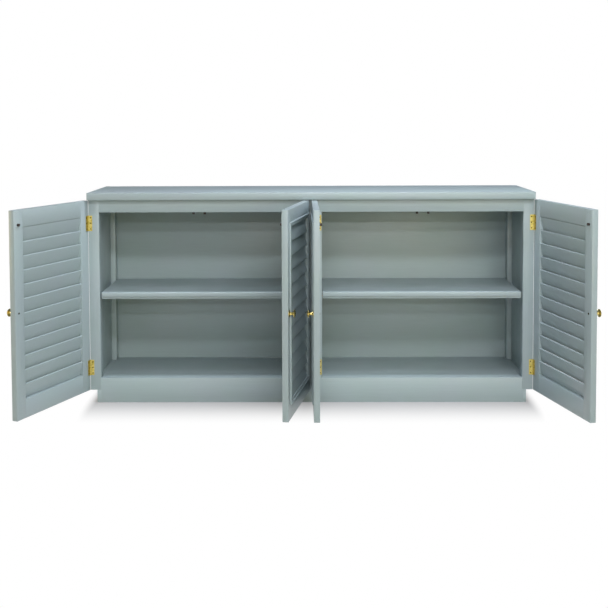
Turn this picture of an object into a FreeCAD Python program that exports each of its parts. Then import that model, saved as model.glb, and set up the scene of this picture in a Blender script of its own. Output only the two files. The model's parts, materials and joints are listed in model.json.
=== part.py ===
"""Louvred door cabinet: a low sideboard with two open bays, two shelves and four louvred doors.

Millimetres. The origin is on the floor, under the middle of the case; +X to the right, +Y to the
back, +Z up. The case is a face frame on corner posts over a plinth. Each door is a frame of stiles
and rails that holds twelve slats in slanted mortises, and it hangs open on two brass butt hinges.
"""
import FreeCAD, Part
import math
import os
import re

import Sketcher

SHEET_ROWS = (
    # the case
    ("frame_width", 1828.0, "face frame, side to side"),
    ("carcass_depth", 350.0, "face frame front to back panel"),
    ("overall_height", 873.0, "floor to the upper face of the top board"),
    ("top_thickness", 30.0, "top board"),
    ("top_side_overhang", 1.0, "top board past each side"),
    ("top_front_overhang", 26.0, "top board past the face frame"),
    ("top_edge_radius", 2.0, "eased edges of the top board"),
    ("case_bottom", 53.0, "floor to the lower end of posts and sides"),
    ("opening_bottom", 102.0, "floor to the upper face of apron and cabinet floor"),
    ("top_rail_height", 52.0, "upper rail of the face frame"),
    ("post_width", 43.0, "front corner post, seen from the front"),
    ("post_depth", 50.0, "front corner post, front to back"),
    ("rear_post_width", 46.5, "rear corner post, side to side"),
    ("rear_post_depth", 42.0, "rear post in front of the back panel"),
    ("centre_width", 90.0, "centre stile and centre rear post"),
    ("side_thickness", 26.0, "side panels"),
    ("partition_thickness", 20.0, "centre partition"),
    ("back_thickness", 6.0, "back panel"),
    ("back_inset", 12.0, "back panel edge from the outer side of the posts"),
    ("floor_thickness", 20.0, "cabinet floor board"),
    ("housing_depth", 8.0, "floor board let into the side panels"),
    ("apron_thickness", 25.0, "front apron and plinth front"),
    ("plinth_recess", 27.0, "plinth side in from the side of the case"),
    ("plinth_thickness", 20.0, "plinth boards"),
    ("plinth_back_recess", 25.0, "plinth back in from the back panel"),
    ("bearer_width", 44.0, "centre bearer under the floor board"),
    # the shelves
    ("shelf_height", 459.0, "floor to the upper face of a shelf"),
    ("shelf_thickness", 19.0, "shelf board"),
    ("shelf_front_gap", 2.0, "shelf behind the face frame front"),
    ("shelf_back_gap", 3.0, "shelf to back panel"),
    ("shelf_side_gap", 3.0, "shelf end to post"),
    ("shelf_edge_radius", 2.0, "eased front edge of a shelf"),
    ("batten_height", 8.5, "stiffening batten under the shelf front"),
    ("batten_depth", 20.0, "stiffening batten, front to back"),
    ("batten_set_back", 6.0, "batten behind the shelf front"),
    ("peg_radius", 2.5, "shelf peg"),
    ("peg_bury", 12.0, "shelf peg in its hole"),
    ("peg_reach", 11.0, "shelf peg out of its hole"),
    ("peg_from_edge", 35.0, "front peg behind the face frame, rear peg before the back panel"),
    # the doors
    ("door_bottom", 53.0, "floor to the lower end of a door"),
    ("door_top_gap", 3.0, "door to the top board"),
    ("door_thickness", 23.0, "stiles and rails"),
    ("door_meeting", 460.0, "centre line to the gap between a pair of doors"),
    ("door_meeting_gap", 3.0, "between a pair of closed doors"),
    ("inner_pin_line", 27.3, "centre line to the hinge pins of an inner door"),
    ("door_stile_width", 50.0, "stiles"),
    ("door_top_rail", 65.0, "top rail height"),
    ("door_bottom_rail", 72.0, "bottom rail height"),
    ("rail_tenon_length", 20.0, "rail tenon in the stile"),
    ("rail_tenon_thickness", 8.0, "rail tenon"),
    ("rail_tenon_shoulder", 10.0, "rail tenon in from the rail's edges"),
    ("slat_count", 12, "slats in a door"),
    ("slat_width", 59.5, "slat across its rounded edges"),
    ("slat_thickness", 7.0, "slat"),
    ("slat_tilt", 13.5, "degrees from upright, outer edge low"),
    ("slat_end_gap", 0.5, "end slats to the rails"),
    ("slat_tenon", 8.0, "slat end in its mortise"),
    ("slat_end_play", 0.5, "slat end to the bottom of its mortise"),
    ("mortise_play", 0.1, "slat face to mortise wall"),
    ("moulding_width", 16.0, "applied moulding round the louvres"),
    ("moulding_height", 5.0, "moulding at its ridge, proud of the door"),
    ("moulding_ridge", 5.5, "width of the rounded ridge along the outside of the moulding"),
    ("moulding_toe", 1.5, "moulding beside the louvres, proud of the door"),
    ("door_1_angle", 113.0, "degrees, left outer door"),
    ("door_2_angle", 79.4, "degrees, left inner door"),
    ("door_3_angle", 89.1, "degrees, right inner door"),
    ("door_4_angle", 104.1, "degrees, right outer door"),
    # the hinges
    ("hinge_length", 63.5, "butt hinge, along its pin"),
    ("hinge_end_offset", 62.0, "door end to the near end of a hinge"),
    ("pin_outset", 0.2, "edges of a closed door and its post to the pin axis"),
    ("leaf_width", 16.0, "pin axis to the edge of a leaf"),
    ("leaf_thickness", 1.2, "leaf"),
    ("leaf_play", 0.2, "between the leaves of a closed hinge"),
    ("leaf_inset", 0.8, "leaf let into the wood"),
    ("leaf_fit", 0.1, "leaf to the sides of its recess"),
    ("knuckle_radius", 2.8, "outside of the barrel"),
    ("knuckle_count", 5, "knuckles along the barrel, the end ones on the case"),
    ("knuckle_play", 0.2, "between neighbouring knuckles"),
    ("knuckle_clearance", 0.5, "barrel to the wood and to the other leaf"),
    ("pin_radius", 1.4, "hinge pin"),
    ("pin_play", 0.05, "pin to its bore, radial"),
    ("pin_head_radius", 2.3, "button on each end of the pin"),
    ("pin_head_height", 0.9, "button on each end of the pin"),
    ("screw_from_pin", 10.0, "pin axis to the screw line"),
    ("screw_spacing", 23.0, "between the screws of a leaf"),
    ("screw_head_radius", 2.6, "countersunk head"),
    ("screw_shank_radius", 1.3, "screw under its head"),
    ("screw_length", 12.0, "screw under the leaf"),
    # the knobs and catches
    ("knob_from_edge", 20.0, "free edge of a door to the knob's middle"),
    ("knob_height", 455.0, "floor to the knob's middle"),
    ("knob_projection", 25.0, "door face to the front of the knob"),
    ("knob_head_radius", 15.0, "knob"),
    ("knob_neck_radius", 5.5, "knob at its narrowest"),
    ("knob_neck_flare", 2.5, "widening of the neck down to the round plate"),
    ("knob_neck_end", 14.0, "door face to the knob's underside"),
    ("knob_cove", 1.2, "depth of the hollow curve under the knob's head"),
    ("knob_rim", 2.5, "straight rim round the knob's widest part"),
    ("knob_dome", 4.0, "rise of the rounded front above the rim"),
    ("knob_rose_radius", 13.5, "round plate against the door"),
    ("knob_rose_thickness", 2.5, "round plate against the door"),
    ("knob_rose_bevel", 1.0, "sloped edge of the round plate"),
    ("bolt_radius", 2.0, "bolt that holds the knob"),
    ("bolt_head_radius", 3.6, "bolt head on the inside of the door"),
    ("bolt_head_height", 1.6, "bolt head on the inside of the door"),
    ("bolt_head_bevel", 0.8, "sloped edge of the bolt head"),
    ("catch_from_meeting", 23.0, "meeting line of the doors to a catch"),
    ("catch_radius", 5.0, "catch stub under the top rail"),
    ("catch_length", 10.0, "catch stub, down from the top rail"),
    ("catch_play", 1.0, "catch to the strike of a closed door"),
    ("strike_radius", 5.0, "strike on the inside of the door"),
    ("strike_reach", 9.5, "strike, proud of the door"),
    ("strike_dome", 1.5, "rounded end of the strike"),
    ("strike_drop", 6.0, "underside of the top rail to the middle of a strike"),
)

doc = FreeCAD.newDocument("louvred_cabinet")


def make_sheet():
    """The spreadsheet of driving dimensions: name, value and what it measures."""
    sheet = doc.addObject("Spreadsheet::Sheet", "Sizes")
    for row, (alias, value, note) in enumerate(SHEET_ROWS, start=1):
        sheet.set("A%d" % row, alias)
        sheet.set("B%d" % row, str(value))
        sheet.set("C%d" % row, note)
        sheet.setAlias("B%d" % row, alias)
    doc.recompute()
    return sheet


class Values:
    """The sheet's values by name, for places that are worked out from them."""

    def __init__(self, sheet):
        for alias, _value, _note in SHEET_ROWS:
            setattr(self, alias, float(sheet.get(alias)))


sheet = make_sheet()
size = Values(sheet)
ALIASES = {row[0] for row in SHEET_ROWS}
DEGREES = " * 1deg"

# Places that several pieces share
front = -size.carcass_depth / 2
back = size.carcass_depth / 2
back_face = back - size.back_thickness
half_width = size.frame_width / 2
case_top = size.overall_height - size.top_thickness
opening_top = case_top - size.top_rail_height
post_inner = half_width - size.post_width
rear_post_inner = half_width - size.rear_post_width
side_inner = half_width - size.side_thickness
plinth_outer = half_width - size.plinth_recess
floor_underside = size.opening_bottom - size.floor_thickness
panel_front = front + size.post_depth
panel_back = back_face - size.rear_post_depth

# The hinge pin stands in the gap between the door and the face frame, just outside their edges
hinge_gap = 2 * (size.leaf_thickness - size.leaf_inset) + size.leaf_play
pin_out = size.pin_outset
pin_y = front - hinge_gap / 2
door_height = case_top - size.door_top_gap - size.door_bottom
catch_height = opening_top - size.strike_drop

# The slats: the first and the last stand just clear of the rails
slat_core = size.slat_width - size.slat_thickness
slat_rise = slat_core * math.cos(math.radians(size.slat_tilt))
louvre_height = door_height - size.door_top_rail - size.door_bottom_rail
first_slat = size.door_bottom_rail + size.slat_end_gap + (slat_rise + size.slat_thickness) / 2
slat_pitch = (louvre_height - 2 * size.slat_end_gap - slat_rise - size.slat_thickness) / (
    size.slat_count - 1
)
knuckle_length = size.hinge_length / size.knuckle_count


def linked(text):
    """The expression with each size's name pointed at the sheet."""
    words = r"[a-z_0-9]*[a-z_][a-z_0-9]*"
    return re.sub(words, lambda m: "Sizes." + m[0] if m[0] in ALIASES else m[0], text)


LOUVRE_HEIGHT = (
    "overall_height - top_thickness - door_top_gap - door_bottom - door_top_rail - door_bottom_rail"
)
DOOR_HEIGHT = "overall_height - top_thickness - door_top_gap - door_bottom"
SLAT_RISE = "(slat_width - slat_thickness) * cos(slat_tilt * 1deg)"
SLAT_LEAN = "(slat_width - slat_thickness) * sin(slat_tilt * 1deg)"


# ---------------------------------------------------------------- general building steps


def place(x=0.0, y=0.0, z=0.0, turn=0.0):
    """A placement at a point, turned about the upright."""
    return FreeCAD.Placement(FreeCAD.Vector(x, y, z), FreeCAD.Rotation(FreeCAD.Vector(0, 0, 1), turn))


def box(label, length, width, height, x, y, z):
    """A board whose three sizes are bound to the sheet, with its low corner at a point."""
    board = doc.addObject("Part::Box", label)
    board.setExpression("Length", linked(length))
    board.setExpression("Width", linked(width))
    board.setExpression("Height", linked(height))
    board.Placement = place(x, y, z)
    return board


def rod(label, radius, height, position, direction):
    """A cylinder whose sizes are bound to the sheet, from a point along a direction."""
    cylinder = doc.addObject("Part::Cylinder", label)
    cylinder.setExpression("Radius", linked(radius))
    cylinder.setExpression("Height", linked(height))
    turn = FreeCAD.Rotation(FreeCAD.Vector(0, 0, 1), FreeCAD.Vector(*direction))
    cylinder.Placement = FreeCAD.Placement(FreeCAD.Vector(*position), turn)
    return cylinder


def cut(label, base, tools):
    """The base less every tool."""
    joined = tools[0]
    if len(tools) > 1:
        joined = doc.addObject("Part::MultiFuse", label + "_tools")
        joined.Shapes = tools
    result = doc.addObject("Part::Cut", label)
    result.Base = base
    result.Tool = joined
    return result


def fuse(label, parts):
    """The parts joined in one solid, with the seams between flush faces removed."""
    result = doc.addObject("Part::MultiFuse", label)
    result.Shapes = parts
    result.Refine = True
    return result


def gather(label, shapes):
    """A node that holds several separate solids of one kind."""
    group = doc.addObject("Part::Feature", label)
    solids = []
    for shape in shapes:
        solids.extend(shape.Solids)
    group.Shape = Part.makeCompound(solids)
    return group


def placed(shape, placement):
    """A copy of the shape under a placement."""
    copy = shape.copy()
    copy.Placement = placement.multiply(copy.Placement)
    return copy


def new_body(label):
    """An empty PartDesign body."""
    return doc.addObject("PartDesign::Body", label)


def origin_feature(body, role):
    """The body's own origin plane or axis with that role."""
    return next(f for f in body.Origin.OriginFeatures if f.Role == role)


def sketch_on(body, role, name):
    """A sketch attached to one of the body's own origin planes."""
    sketch = body.newObject("Sketcher::SketchObject", name)
    sketch.AttachmentSupport = (origin_feature(body, role), [""])
    sketch.MapMode = "FlatFace"
    return sketch


def dimension(sketch, name, constraint, expression):
    """One dimension of a sketch, bound to the sheet."""
    index = sketch.addConstraint(constraint)
    sketch.renameConstraint(index, name)
    sketch.setExpression("Constraints." + name, linked(expression))


def corner_rectangle(sketch, width, depth, to_x, to_y):
    """A rectangle with one corner on the sketch origin, reaching to (to_x, to_y)."""
    corners = [(0, 0), (to_x, 0), (to_x, to_y), (0, to_y)]
    points = [FreeCAD.Vector(x, y, 0) for x, y in corners]
    for first, second in zip(points, points[1:] + points[:1]):
        sketch.addGeometry(Part.LineSegment(first, second), False)
    for line in range(4):
        sketch.addConstraint(Sketcher.Constraint("Coincident", line, 2, (line + 1) % 4, 1))
    for line, kind in enumerate(("Horizontal", "Vertical", "Horizontal", "Vertical")):
        sketch.addConstraint(Sketcher.Constraint(kind, line))
    sketch.addConstraint(Sketcher.Constraint("Coincident", 0, 1, -1, 1))
    dimension(sketch, "width", Sketcher.Constraint("Distance", 0, abs(to_x)), width)
    dimension(sketch, "depth", Sketcher.Constraint("Distance", 1, abs(to_y)), depth)


def rounded_slot(sketch, radius, low_y, low_z, radius_text, low_y_text, low_z_text):
    """The section of a slat: two round ends, the outer one low, joined by two flat faces."""
    tilt = math.radians(size.slat_tilt)
    along = FreeCAD.Vector(math.sin(tilt), math.cos(tilt), 0)
    across = FreeCAD.Vector(math.cos(tilt), -math.sin(tilt), 0)
    low = FreeCAD.Vector(low_y, low_z, 0)
    high = low + along * slat_core
    normal = FreeCAD.Vector(0, 0, 1)
    low_arc = Part.ArcOfCircle(Part.Circle(low, normal, radius), math.pi - tilt, 2 * math.pi - tilt)
    high_arc = Part.ArcOfCircle(Part.Circle(high, normal, radius), -tilt, math.pi - tilt)
    sketch.addGeometry(low_arc, False)
    sketch.addGeometry(Part.LineSegment(low + across * radius, high + across * radius), False)
    sketch.addGeometry(high_arc, False)
    sketch.addGeometry(Part.LineSegment(high - across * radius, low - across * radius), False)
    for edge in range(4):
        sketch.addConstraint(Sketcher.Constraint("Tangent", edge, 2, (edge + 1) % 4, 1))
    sketch.addConstraint(Sketcher.Constraint("Equal", 0, 2))
    dimension(sketch, "radius", Sketcher.Constraint("Radius", 0, radius), radius_text)
    dimension(sketch, "lean", Sketcher.Constraint("DistanceX", 0, 3, 2, 3, high.x - low.x), SLAT_LEAN)
    dimension(sketch, "rise", Sketcher.Constraint("DistanceY", 0, 3, 2, 3, high.y - low.y), SLAT_RISE)
    dimension(sketch, "low_y", Sketcher.Constraint("DistanceX", -1, 1, 0, 3, low.x), low_y_text)
    dimension(sketch, "low_z", Sketcher.Constraint("DistanceY", -1, 1, 0, 3, low.y), low_z_text)


def pad(body, sketch, name, length, reverse=False):
    """The sketch made solid."""
    feature = body.newObject("PartDesign::Pad", name)
    feature.Profile = sketch
    feature.Reversed = reverse
    feature.setExpression("Length", linked(length))
    doc.recompute()
    return feature


def pocket(body, sketch, name, length, reverse=False):
    """The sketch cut into the body, with proof that it removed something."""
    before = body.Shape.Volume
    feature = body.newObject("PartDesign::Pocket", name)
    feature.Profile = sketch
    feature.Reversed = reverse
    feature.setExpression("Length", linked(length))
    doc.recompute()
    if not body.Shape.Volume < before:
        raise RuntimeError(body.Label + ": " + name + " cut nothing")
    return feature


def turned(label, outline):
    """A solid turned about the axis from a closed outline of (radius, height) points.

    A point with a second pair of values starts an arc that runs through that pair to the next point.
    """
    edges = []
    for start, end in zip(outline, outline[1:] + outline[:1]):
        first = FreeCAD.Vector(start[0], 0, start[1])
        last = FreeCAD.Vector(end[0], 0, end[1])
        if start[2:]:
            radius, height = start[2:]
            edges.append(Part.Arc(first, FreeCAD.Vector(radius, 0, height), last).toShape())
        else:
            edges.append(Part.LineSegment(first, last).toShape())
    face = Part.Face(Part.Wire(edges))
    solid = face.revolve(FreeCAD.Vector(0, 0, 0), FreeCAD.Vector(0, 0, 1), 360)
    feature = doc.addObject("Part::Feature", label)
    feature.Shape = solid if solid.Volume > 0 else solid.reversed()
    return feature


# ---------------------------------------------------------------- the case


def build_top_board():
    """The top board, with its edges eased all round."""
    body = new_body("top_board")
    sketch = sketch_on(body, "XY_Plane", "top_outline")
    length = size.frame_width + 2 * size.top_side_overhang
    depth = size.carcass_depth + size.top_front_overhang
    corner_rectangle(
        sketch,
        "frame_width + 2 * top_side_overhang",
        "carcass_depth + top_front_overhang",
        length,
        depth,
    )
    slab = pad(body, sketch, "top_slab", "top_thickness")
    eased = body.newObject("PartDesign::Fillet", "top_eased_edges")
    eased.Base = (slab, ["Edge%d" % (i + 1) for i in range(len(slab.Shape.Edges))])
    eased.setExpression("Radius", linked("top_edge_radius"))
    body.Tip = eased
    body.Placement = place(-length / 2, front - size.top_front_overhang, case_top)
    return body


POST_HEIGHT = "overall_height - top_thickness - case_bottom"
PANEL_DEPTH = "carcass_depth - post_depth - rear_post_depth - back_thickness"


def peg_hole(label, x, y, inward):
    """A drilled hole for a shelf peg, from the face at x into the wood."""
    z = size.shelf_height - size.shelf_thickness - size.peg_radius
    return rod(label, "peg_radius", "peg_bury", (x, y, z), (inward, 0, 0))


peg_front_y = front + size.peg_from_edge
peg_back_y = back_face - size.peg_from_edge + size.shelf_back_gap


def hinge_starts():
    """Heights of the lower ends of a door's two hinges."""
    low = size.door_bottom + size.hinge_end_offset
    high = size.door_bottom + door_height - size.hinge_end_offset - size.hinge_length
    return low, high


def leaf_screw_heights():
    """Heights of the screws of a door's two hinges."""
    steps = (-size.screw_spacing, 0.0, size.screw_spacing)
    return [start + size.hinge_length / 2 + step for start in hinge_starts() for step in steps]


SCREW_DEPTH = "screw_length + leaf_inset"


def frame_screw_holes(label, x):
    """Pilot holes in the front face of a post for the frame leaves of two hinges."""
    return [
        rod("%s_pilot_%d" % (label, i), "screw_shank_radius", SCREW_DEPTH, (x, front, z), (0, 1, 0))
        for i, z in enumerate(leaf_screw_heights())
    ]


outer_pin_x = half_width + pin_out


def build_front_post(label, side):
    """A front corner post, drilled for the shelf peg and the hinge screws."""
    low_x = post_inner if side > 0 else -half_width
    blank = box(label + "_blank", "post_width", "post_depth", POST_HEIGHT, low_x, front, size.case_bottom)
    tools = frame_screw_holes(label, side * (outer_pin_x - size.screw_from_pin))
    tools += gains_in_frame(label, side * outer_pin_x, -side)
    tools.append(peg_hole(label + "_peg_hole", side * post_inner, peg_front_y, side))
    return cut(label, blank, tools)


def hinge_gains(label, way, wood_y):
    """What two hinges need cut from the wood, about a pin axis that stands at x = 0, y = 0.

    The barrel turns in a round groove, and the leaf lies in a shallow recess that reaches from the
    pin axis the way it lies, +1 or -1 along X. The wood's face is at wood_y.
    """
    longer = size.pin_head_height + size.knuckle_clearance
    inset = size.leaf_inset if wood_y > 0 else -size.leaf_inset
    low_x = 0.0 if way > 0 else -size.leaf_width - size.leaf_fit
    tools = []
    for number, start in enumerate(hinge_starts()):
        groove = rod(
            "%s_groove_%d" % (label, number),
            "knuckle_radius + knuckle_clearance",
            "hinge_length + 2 * (pin_head_height + knuckle_clearance)",
            (0, 0, start - longer),
            (0, 0, 1),
        )
        recess = box(
            "%s_recess_%d" % (label, number),
            "leaf_width + leaf_fit",
            "leaf_inset",
            "hinge_length + 2 * leaf_fit",
            low_x,
            min(wood_y, wood_y + inset),
            start - size.leaf_fit,
        )
        tools += [groove, recess]
    return tools


def gains_in_frame(label, x, way):
    """The grooves and recesses of two hinges in the front of the face frame, pin axis at x."""
    tools = hinge_gains(label, way, hinge_gap / 2)
    for tool in tools:
        tool.Placement = place(x, pin_y).multiply(tool.Placement)
    return tools


def build_centre_stile():
    """The middle upright of the face frame, which carries the inner doors."""
    blank = box(
        "centre_stile_blank",
        "centre_width",
        "post_depth",
        "overall_height - top_thickness - top_rail_height - opening_bottom",
        -size.centre_width / 2,
        front,
        size.opening_bottom,
    )
    tools = []
    for side in (-1, 1):
        label = "centre_stile_%s" % ("left" if side < 0 else "right")
        tools += frame_screw_holes(label, side * (size.inner_pin_line + size.screw_from_pin))
        tools.append(peg_hole(label + "_peg_hole", side * size.centre_width / 2, peg_front_y, -side))
        tools += gains_in_frame(label, side * size.inner_pin_line, side)
    return cut("centre_stile", blank, tools)


def build_rear_posts():
    """The two rear corner posts, rebated for the back panel, and the rear post of the partition."""
    shapes = []
    for side, name in ((-1, "left"), (1, "right")):
        low_x = rear_post_inner if side > 0 else -half_width
        blank = box(
            "rear_post_blank_" + name,
            "rear_post_width",
            "rear_post_depth + back_thickness",
            POST_HEIGHT,
            low_x,
            panel_back,
            size.case_bottom,
        )
        rebate = box(
            "rear_post_rebate_" + name,
            "rear_post_width - back_inset",
            "back_thickness",
            "overall_height - top_thickness - opening_bottom + floor_thickness",
            rear_post_inner if side > 0 else -half_width + size.back_inset,
            back_face,
            floor_underside,
        )
        hole = peg_hole("rear_post_peg_hole_" + name, side * rear_post_inner, peg_back_y, side)
        shapes.append(cut("rear_post_" + name, blank, [rebate, hole]))
    centre = box(
        "rear_post_blank_centre",
        "centre_width",
        "rear_post_depth",
        "overall_height - top_thickness - opening_bottom",
        -size.centre_width / 2,
        panel_back,
        size.opening_bottom,
    )
    holes = [
        peg_hole("rear_centre_peg_hole_%d" % side, side * size.centre_width / 2, peg_back_y, -side)
        for side in (-1, 1)
    ]
    shapes.append(cut("rear_post_centre", centre, holes))
    doc.recompute()
    return gather("rear_posts", [s.Shape for s in shapes])


def build_side_panel(label, side):
    """A side panel between the posts, housed for the floor board."""
    low_x = side_inner if side > 0 else -half_width
    blank = box(
        label + "_blank", "side_thickness", PANEL_DEPTH, POST_HEIGHT, low_x, panel_front, size.case_bottom
    )
    housing = box(
        label + "_housing",
        "housing_depth",
        PANEL_DEPTH,
        "floor_thickness",
        side_inner if side > 0 else -side_inner - size.housing_depth,
        panel_front,
        floor_underside,
    )
    return cut(label, blank, [housing])


def build_centre_partition():
    """The panel between the centre stile and the rear centre post."""
    return box(
        "centre_partition",
        "partition_thickness",
        PANEL_DEPTH,
        "overall_height - top_thickness - opening_bottom",
        -size.partition_thickness / 2,
        panel_front,
        size.opening_bottom,
    )


def build_top_rail():
    """The upper rail of the face frame."""
    return box(
        "top_rail",
        "frame_width - 2 * post_width",
        "post_depth",
        "top_rail_height",
        -post_inner,
        front,
        opening_top,
    )


def build_front_apron():
    """The lower rail of the face frame, in one piece with the wider plinth front under it."""
    upper = box(
        "apron_upper",
        "frame_width - 2 * post_width",
        "apron_thickness",
        "opening_bottom - case_bottom",
        -post_inner,
        front,
        size.case_bottom,
    )
    lower = box(
        "apron_lower",
        "frame_width - 2 * plinth_recess",
        "apron_thickness",
        "case_bottom",
        -plinth_outer,
        front,
        0.0,
    )
    return fuse("front_apron", [upper, lower])


def build_floor_board():
    """The cabinet floor, notched round the corner posts and housed in the side panels."""
    centre = box(
        "floor_between_posts",
        "frame_width - 2 * rear_post_width",
        "carcass_depth - apron_thickness - back_thickness",
        "floor_thickness",
        -rear_post_inner,
        front + size.apron_thickness,
        floor_underside,
    )
    tongues = box(
        "floor_tongues",
        "frame_width - 2 * side_thickness + 2 * housing_depth",
        PANEL_DEPTH,
        "floor_thickness",
        -side_inner - size.housing_depth,
        panel_front,
        floor_underside,
    )
    return fuse("floor_board", [centre, tongues])


def build_back_panel():
    """The back panel, in the rebates of the rear posts."""
    return box(
        "back_panel",
        "frame_width - 2 * back_inset",
        "back_thickness",
        "overall_height - top_thickness - opening_bottom + floor_thickness",
        -half_width + size.back_inset,
        back_face,
        floor_underside,
    )


def build_plinth_frame():
    """The plinth's sides, its back and the bearer under the middle of the floor board."""
    depth = "carcass_depth - apron_thickness - plinth_back_recess"
    start = front + size.apron_thickness
    boards = [
        box("plinth_left", "plinth_thickness", depth, "case_bottom", -plinth_outer, start, 0.0),
        box(
            "plinth_right",
            "plinth_thickness",
            depth,
            "case_bottom",
            plinth_outer - size.plinth_thickness,
            start,
            0.0,
        ),
        box(
            "plinth_back",
            "frame_width - 2 * plinth_recess - 2 * plinth_thickness",
            "plinth_thickness",
            "opening_bottom - floor_thickness",
            -plinth_outer + size.plinth_thickness,
            back - size.plinth_back_recess - size.plinth_thickness,
            0.0,
        ),
        box(
            "plinth_bearer",
            "bearer_width",
            depth + " - plinth_thickness",
            "opening_bottom - floor_thickness",
            -size.bearer_width / 2,
            start,
            0.0,
        ),
    ]
    doc.recompute()
    return gather("plinth_frame", [board.Shape for board in boards])


def build_shelf(label, side):
    """A loose shelf with an eased front edge and a batten under it."""
    length = rear_post_inner - size.centre_width / 2 - 2 * size.shelf_side_gap
    depth = back_face - front - size.shelf_front_gap - size.shelf_back_gap
    body = new_body(label + "_board")
    sketch = sketch_on(body, "XY_Plane", label + "_outline")
    long_text = "frame_width / 2 - rear_post_width - centre_width / 2 - 2 * shelf_side_gap"
    deep_text = "carcass_depth - back_thickness - shelf_front_gap - shelf_back_gap"
    corner_rectangle(sketch, long_text, deep_text, length, depth)
    board = pad(body, sketch, label + "_slab", "shelf_thickness")
    front_edges = [
        "Edge%d" % (i + 1)
        for i, edge in enumerate(board.Shape.Edges)
        if edge.BoundBox.YMax < size.shelf_edge_radius and edge.BoundBox.XLength > size.shelf_edge_radius
    ]
    eased = body.newObject("PartDesign::Fillet", label + "_eased_edges")
    eased.Base = (board, front_edges)
    eased.setExpression("Radius", linked("shelf_edge_radius"))
    body.Tip = eased
    inner_end = size.centre_width / 2 + size.shelf_side_gap
    low_x = inner_end if side > 0 else -inner_end - length
    low_y = front + size.shelf_front_gap
    underside = size.shelf_height - size.shelf_thickness
    body.Placement = place(low_x, low_y, underside)
    batten = box(
        label + "_batten",
        long_text,
        "batten_depth",
        "batten_height",
        low_x,
        low_y + size.batten_set_back,
        underside - size.batten_height,
    )
    doc.recompute()
    return gather(label, [body.Shape, batten.Shape])


def build_shelf_pegs():
    """Eight pegs that the two shelves lie on."""
    z = size.shelf_height - size.shelf_thickness - size.peg_radius
    shapes = []
    for side in (-1, 1):
        seats = (
            (side * post_inner, peg_front_y, side),
            (side * rear_post_inner, peg_back_y, side),
            (side * size.centre_width / 2, peg_front_y, -side),
            (side * size.centre_width / 2, peg_back_y, -side),
        )
        for number, (x, y, inward) in enumerate(seats):
            start = (x + inward * size.peg_bury, y, z)
            label = "peg_%d_%d" % (side, number)
            shapes.append(rod(label, "peg_radius", "peg_bury + peg_reach", start, (-inward, 0, 0)))
    doc.recompute()
    return gather("shelf_pegs", [shape.Shape for shape in shapes])


def build_catches():
    """Four catch stubs under the top rail, one behind the strike of each door."""
    shapes = []
    y = pin_y - hinge_gap / 2 + size.strike_reach + size.catch_play + size.catch_radius
    for side in (-1, 1):
        for offset in (-size.catch_from_meeting, size.catch_from_meeting):
            x = side * size.door_meeting + offset
            top = (x, y, opening_top)
            shapes.append(rod("catch_%d" % round(x), "catch_radius", "catch_length", top, (0, 0, -1)))
    doc.recompute()
    return gather("catches", [shape.Shape for shape in shapes])


# ---------------------------------------------------------------- the hinges


def hinge_leaf(label, own_knuckles, across):
    """One leaf of a butt hinge on its pin axis, lying towards +X on the side given by across.

    Its knuckles wrap the pin, and the leaf is cut back where the other leaf's knuckles turn.
    """
    plate_y = size.leaf_play / 2 if across > 0 else -size.leaf_play / 2 - size.leaf_thickness
    plate = box(label + "_plate", "leaf_width", "leaf_thickness", "hinge_length", 0.0, plate_y, 0.0)
    solids = [plate]
    notches = []
    for number in range(int(size.knuckle_count)):
        low_z = number * knuckle_length + size.knuckle_play / 2
        name = "%s_knuckle_%d" % (label, number)
        if number in own_knuckles:
            tall = "hinge_length / knuckle_count - knuckle_play"
            solids.append(rod(name, "knuckle_radius", tall, (0, 0, low_z), (0, 0, 1)))
        else:
            notch = rod(
                name + "_notch",
                "knuckle_radius + knuckle_clearance",
                "hinge_length / knuckle_count + knuckle_play",
                (0, 0, low_z - size.knuckle_play),
                (0, 0, 1),
            )
            notches.append(notch)
    bore = rod(label + "_bore", "pin_radius + pin_play", "hinge_length", (0, 0, 0), (0, 0, 1))
    sinks = []
    for step in (-1, 0, 1):
        z = size.hinge_length / 2 + step * size.screw_spacing
        sink = doc.addObject("Part::Cone", "%s_sink_%d" % (label, step))
        sink.setExpression("Radius1", linked("screw_head_radius"))
        sink.setExpression("Radius2", linked("screw_shank_radius"))
        sink.setExpression("Height", linked("leaf_thickness"))
        turn = FreeCAD.Rotation(FreeCAD.Vector(0, 0, 1), FreeCAD.Vector(0, across, 0))
        open_y = size.leaf_play / 2 * across
        sink.Placement = FreeCAD.Placement(FreeCAD.Vector(size.screw_from_pin, open_y, z), turn)
        sinks.append(sink)
    return cut(label, fuse(label + "_blank", solids), notches + [bore] + sinks)


def hinge_pin():
    """The pin with a button at each end."""
    shank = rod("pin_shank", "pin_radius", "hinge_length", (0, 0, 0), (0, 0, 1))
    buttons = [
        rod("pin_button_%d" % number, "pin_head_radius", "pin_head_height", (0, 0, z), (0, 0, 1))
        for number, z in enumerate((-size.pin_head_height, size.hinge_length))
    ]
    return fuse("pin_master", [shank] + buttons)


def leaf_screw():
    """A countersunk screw, its head's flat face at the origin and its shank along +Z."""
    head = doc.addObject("Part::Cone", "screw_head")
    head.setExpression("Radius1", linked("screw_head_radius"))
    head.setExpression("Radius2", linked("screw_shank_radius"))
    head.setExpression("Height", linked("leaf_thickness"))
    shank = rod("screw_shank", "screw_shank_radius", "leaf_thickness + screw_length", (0, 0, 0), (0, 0, 1))
    return fuse("screw_master", [head, shank])


# ---------------------------------------------------------------- the doors


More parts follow.
